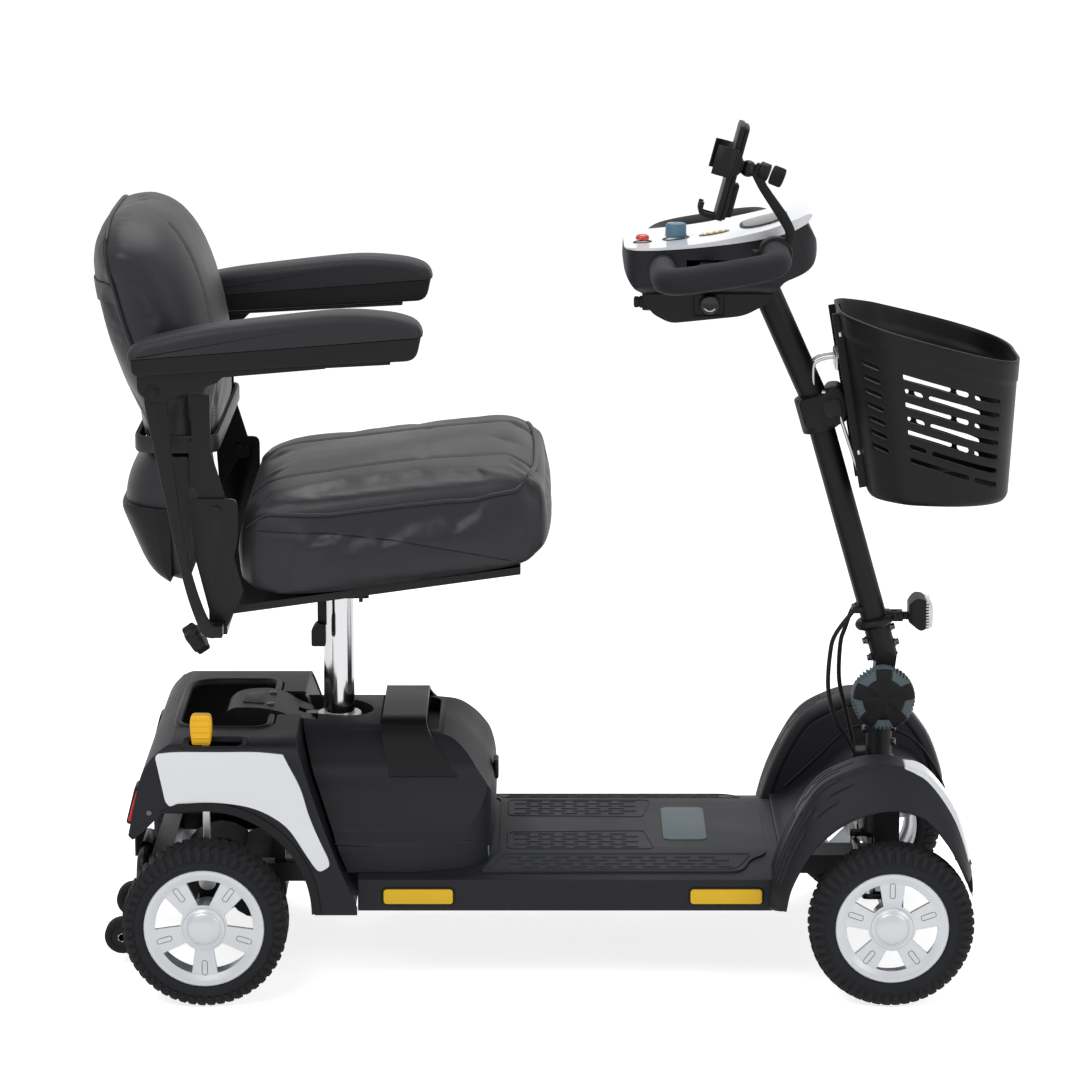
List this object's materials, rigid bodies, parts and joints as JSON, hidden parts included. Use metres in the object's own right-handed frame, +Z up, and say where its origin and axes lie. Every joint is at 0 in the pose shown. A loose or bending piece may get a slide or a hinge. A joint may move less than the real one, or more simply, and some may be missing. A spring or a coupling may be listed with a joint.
{
  "type": "mobility scooter",
  "caption": "Four-wheeled mobility scooter with a swivel seat, flip-up armrests, tilting tiller with hand loops, front basket and phone holder",
  "frame": {"origin": "on the floor under the middle of the scooter's length and width", "axes": "+X the way the scooter drives, +Y the rider's left, +Z up"},
  "size_m": [1.212, 0.544, 1.1399],
  "materials": {
    "tyre": "matt moulded tread",
    "rim": "silver painted, satin",
    "frame": "gloss black powder coat",
    "drive": "black painted casting",
    "body": "fine textured charcoal",
    "mat": "ribbed dark grey",
    "black": "satin black moulding",
    "yellow": "satin yellow",
    "steel": "zinc plated",
    "chrome": "polished",
    "lens": "clear faceted lens in a black shell",
    "white": "gloss white",
    "grip": "soft foam sleeve",
    "red": "gloss red",
    "blue": "satin blue-grey",
    "vinyl": "fine grained black vinyl with stitched seams"
  },
  "bodies": {
    "chassis": {"rear_frame": "frame", "front_frame": "frame", "transaxle": "drive", "foot_deck": "body", "deck_mat": "mat", "front_shroud": "body", "rear_shroud": "body", "post_collar": "black", "anti_tip_arm": "frame"},
    "rear_wheel_left": {"rear_tyre_left": "tyre", "rear_rim_left": "rim"},
    "rear_wheel_right": {"rear_tyre_right": "tyre", "rear_rim_right": "rim"},
    "front_wheel_left": {"front_tyre_left": "tyre", "front_rim_left": "rim"},
    "front_wheel_right": {"front_tyre_right": "tyre", "front_rim_right": "rim"},
    "knuckle_left": {"knuckle_left": "frame"},
    "knuckle_right": {"knuckle_right": "frame"},
    "tie_rod": {"tie_rod": "steel"},
    "stem": {"steering_stem": "frame", "harness": "black"},
    "tiller": {"tiller_tube": "frame", "headlight_bracket": "black", "basket_bracket": "frame", "console_body": "body", "console_top": "white", "handlebar": "grip", "phone_arm": "black"},
    "tilt_knob": {"tilt_knob": "black"},
    "headlight": {"headlight": "lens"},
    "basket": {"basket": "black"},
    "throttle_lever": {"throttle_lever": "black"},
    "horn_button": {"horn_button": "red"},
    "speed_knob": {"speed_knob": "blue"},
    "ignition_key": {"ignition_key": "black"},
    "charge_cover": {"charge_cover": "black"},
    "phone_knob": {"phone_knob": "black"},
    "phone_cradle": {"phone_cradle": "black"},
    "phone_jaw": {"phone_jaw": "black"},
    "seat_post": {"seat_post": "chrome"},
    "seat": {"seat_frame": "frame", "seat_cushion": "vinyl"},
    "swivel_lever": {"swivel_lever": "black"},
    "backrest": {"back_frame": "frame", "back_cushion": "vinyl", "back_pocket": "vinyl"},
    "arm_upright_left": {"arm_upright_left": "frame"},
    "arm_upright_right": {"arm_upright_right": "frame"},
    "arm_left": {"arm_bracket_left": "frame", "arm_pad_left": "vinyl"},
    "arm_right": {"arm_bracket_right": "frame", "arm_pad_right": "vinyl"},
    "arm_knob_left": {"arm_knob_left": "black"},
    "arm_knob_right": {"arm_knob_right": "black"},
    "battery_box": {"battery_box": "body"},
    "release_paddle": {"release_paddle": "black"},
    "freewheel_lever": {"freewheel_lever": "yellow"},
    "anti_tip_wheel_left": {"anti_tip_wheel_left": "black"},
    "anti_tip_wheel_right": {"anti_tip_wheel_right": "black"}
  },
  "joints": [
    {"name": "rear_wheel_left_spin", "type": "hinge", "parent": "chassis", "child": "rear_wheel_left", "pos_m": [-0.458, 0.232, 0.108], "axis": [0, 1, 0], "continuous": true},
    {"name": "rear_wheel_right_spin", "type": "hinge", "parent": "chassis", "child": "rear_wheel_right", "pos_m": [-0.458, -0.232, 0.108], "axis": [0, 1, 0], "continuous": true},
    {"name": "steering", "type": "hinge", "parent": "chassis", "child": "stem", "pos_m": [0.435, 0, 0.25], "axis": [0, 0, 1], "range_deg": [-35, 35]},
    {"name": "knuckle_left_turn", "type": "hinge", "parent": "chassis", "child": "knuckle_left", "pos_m": [0.435, 0.226, 0.108], "axis": [0, 0, 1], "range_deg": [-35, 35]},
    {"name": "knuckle_right_turn", "type": "hinge", "parent": "chassis", "child": "knuckle_right", "pos_m": [0.435, -0.226, 0.108], "axis": [0, 0, 1], "range_deg": [-35, 35]},
    {"name": "tie_rod_left_end", "type": "hinge", "parent": "knuckle_left", "child": "tie_rod", "pos_m": [0.405, 0.226, 0.151], "axis": [0, 0, 1], "range_deg": [-35, 35]},
    {"name": "front_wheel_left_spin", "type": "hinge", "parent": "knuckle_left", "child": "front_wheel_left", "pos_m": [0.435, 0.24, 0.108], "axis": [0, 1, 0], "continuous": true},
    {"name": "front_wheel_right_spin", "type": "hinge", "parent": "knuckle_right", "child": "front_wheel_right", "pos_m": [0.435, -0.24, 0.108], "axis": [0, 1, 0], "continuous": true},
    {"name": "tiller_tilt", "type": "hinge", "parent": "stem", "child": "tiller", "pos_m": [0.436, 0, 0.362], "axis": [0, -1, 0], "range_deg": [-14, 11], "deforming": ["harness"]},
    {"name": "tilt_knob_turn", "type": "hinge", "parent": "stem", "child": "tilt_knob", "pos_m": [0.436, -0.048, 0.362], "axis": [0, -1, 0], "range_deg": [0, 180]},
    {"name": "headlight_tilt", "type": "hinge", "parent": "tiller", "child": "headlight", "pos_m": [0.4602, 0, 0.4641], "axis": [0, 1, 0], "range_deg": [-20, 20]},
    {"name": "basket_lift", "type": "slide", "parent": "tiller", "child": "basket", "axis": [0, 0, 1], "range_m": [0, 0.05]},
    {"name": "throttle", "type": "hinge", "parent": "tiller", "child": "throttle_lever", "pos_m": [0.1949, 0, 0.9515], "axis": [0, 0, 1], "range_deg": [-10, 10], "stiffness_Nm_per_rad": 0.4},
    {"name": "horn_press", "type": "slide", "parent": "tiller", "child": "horn_button", "axis": [0, 0, -1], "range_m": [0, 0.0025], "stiffness_N_per_m": 300},
    {"name": "speed_dial", "type": "hinge", "parent": "tiller", "child": "speed_knob", "pos_m": [0.1559, -0.02, 0.985], "axis": [0, 0, -1], "range_deg": [0, 270]},
    {"name": "key_turn", "type": "hinge", "parent": "tiller", "child": "ignition_key", "pos_m": [0.108, -0.028, 0.8925], "axis": [1, 0, 0], "range_deg": [0, 90]},
    {"name": "charge_cover_swing", "type": "hinge", "parent": "tiller", "child": "charge_cover", "pos_m": [0.1929, -0.052, 0.8905], "axis": [0, 1, 0], "range_deg": [0, 100]},
    {"name": "phone_knob_turn", "type": "hinge", "parent": "tiller", "child": "phone_knob", "pos_m": [0.2569, -0.116, 1.0791], "axis": [0.9292, 0, -0.3697], "range_deg": [0, 180]},
    {"name": "phone_tilt", "type": "hinge", "parent": "tiller", "child": "phone_cradle", "pos_m": [0.2449, -0.116, 1.0791], "axis": [0, 1, 0], "range_deg": [-15, 15]},
    {"name": "phone_jaw_open", "type": "slide", "parent": "phone_cradle", "child": "phone_jaw", "axis": [0, -1, 0], "range_m": [0, 0.012]},
    {"name": "seat_height", "type": "slide", "parent": "chassis", "child": "seat_post", "axis": [0, 0, 1], "range_m": [0, 0.075]},
    {"name": "seat_swivel", "type": "hinge", "parent": "seat_post", "child": "seat", "pos_m": [-0.292, 0, 0.506], "axis": [0, 0, 1], "range_deg": [-90, 90]},
    {"name": "swivel_release", "type": "hinge", "parent": "seat", "child": "swivel_lever", "pos_m": [-0.292, -0.031, 0.4975], "axis": [-1, 0, 0], "range_deg": [0, 25], "stiffness_Nm_per_rad": 1},
    {"name": "back_fold", "type": "hinge", "parent": "seat", "child": "backrest", "pos_m": [-0.437, 0, 0.651], "axis": [0, 1, 0], "range_deg": [0, 70]},
    {"name": "arm_left_width", "type": "slide", "parent": "seat", "child": "arm_upright_left", "axis": [0, 1, 0], "range_m": [0, 0.05]},
    {"name": "arm_left_flip", "type": "hinge", "parent": "arm_upright_left", "child": "arm_left", "pos_m": [-0.511, 0.25, 0.813], "axis": [0, -1, 0], "range_deg": [0, 95]},
    {"name": "arm_left_knob_turn", "type": "hinge", "parent": "seat", "child": "arm_knob_left", "pos_m": [-0.436, 0.194, 0.5], "axis": [-0.8211, 0, -0.5708], "range_deg": [0, 180]},
    {"name": "arm_right_width", "type": "slide", "parent": "seat", "child": "arm_upright_right", "axis": [0, -1, 0], "range_m": [0, 0.05]},
    {"name": "arm_right_flip", "type": "hinge", "parent": "arm_upright_right", "child": "arm_right", "pos_m": [-0.511, -0.25, 0.813], "axis": [0, -1, 0], "range_deg": [0, 95]},
    {"name": "arm_right_knob_turn", "type": "hinge", "parent": "seat", "child": "arm_knob_right", "pos_m": [-0.436, -0.194, 0.5], "axis": [-0.8211, 0, -0.5708], "range_deg": [0, 180]},
    {"name": "battery_lift", "type": "slide", "parent": "chassis", "child": "battery_box", "axis": [0, 0, 1], "range_m": [0, 0.08]},
    {"name": "chassis_release", "type": "hinge", "parent": "chassis", "child": "release_paddle", "pos_m": [-0.329, 0, 0.322], "axis": [0, 1, 0], "range_deg": [0, 45]},
    {"name": "freewheel", "type": "hinge", "parent": "chassis", "child": "freewheel_lever", "pos_m": [-0.458, -0.19, 0.15], "axis": [0, 1, 0], "range_deg": [0, 10]},
    {"name": "anti_tip_left_spin", "type": "hinge", "parent": "chassis", "child": "anti_tip_wheel_left", "pos_m": [-0.582, 0.082, 0.042], "axis": [0, 1, 0], "continuous": true},
    {"name": "anti_tip_right_spin", "type": "hinge", "parent": "chassis", "child": "anti_tip_wheel_right", "pos_m": [-0.582, -0.082, 0.042], "axis": [0, 1, 0], "continuous": true}
  ],
  "couplings": [
    {"joint": "knuckle_left_turn", "follows": "steering", "ratio": 1},
    {"joint": "knuckle_right_turn", "follows": "steering", "ratio": 1},
    {"joint": "tie_rod_left_end", "follows": "steering", "ratio": -1}
  ]
}
